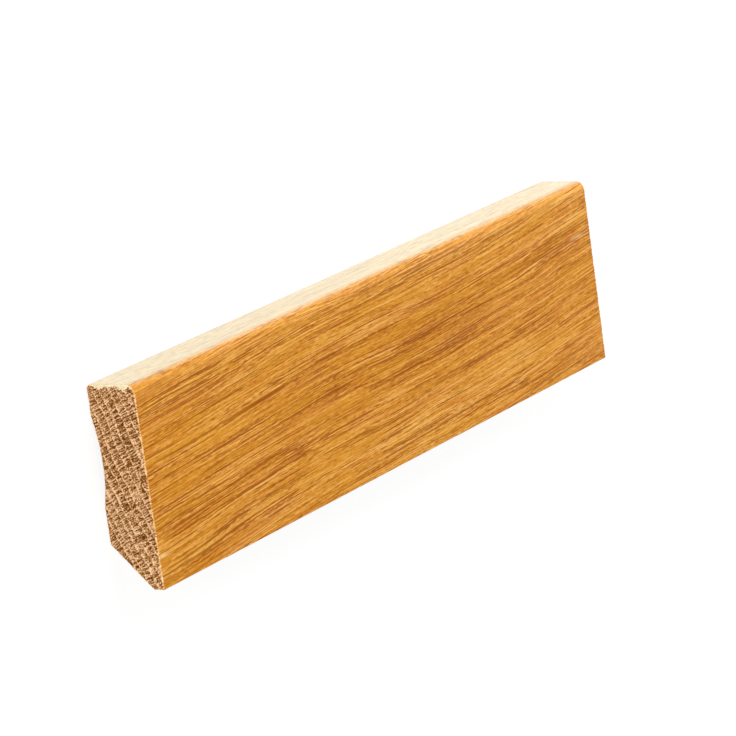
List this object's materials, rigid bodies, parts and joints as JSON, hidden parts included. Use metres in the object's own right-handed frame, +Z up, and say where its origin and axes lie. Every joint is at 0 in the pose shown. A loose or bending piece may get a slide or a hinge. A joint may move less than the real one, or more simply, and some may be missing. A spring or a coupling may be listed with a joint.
{
  "type": "skirting board length",
  "caption": "Straight length of solid oak skirting board with a rounded top edge, a relieved foot and a hollowed wall side, sawn square at both ends.",
  "frame": {"origin": "on the floor under the middle of the board, which lies on its wall side", "axes": "+X along the grain and the length, +Y from the foot towards the rounded top edge, +Z up, out of the finished face"},
  "size_m": [0.25, 0.058, 0.016],
  "materials": {
    "oak": "satin lacquer on the face and top edge, bare planed wood on the wall side and foot, raw saw cut at both ends"
  },
  "bodies": {
    "root": {"skirting_board": "oak"}
  },
  "joints": []
}
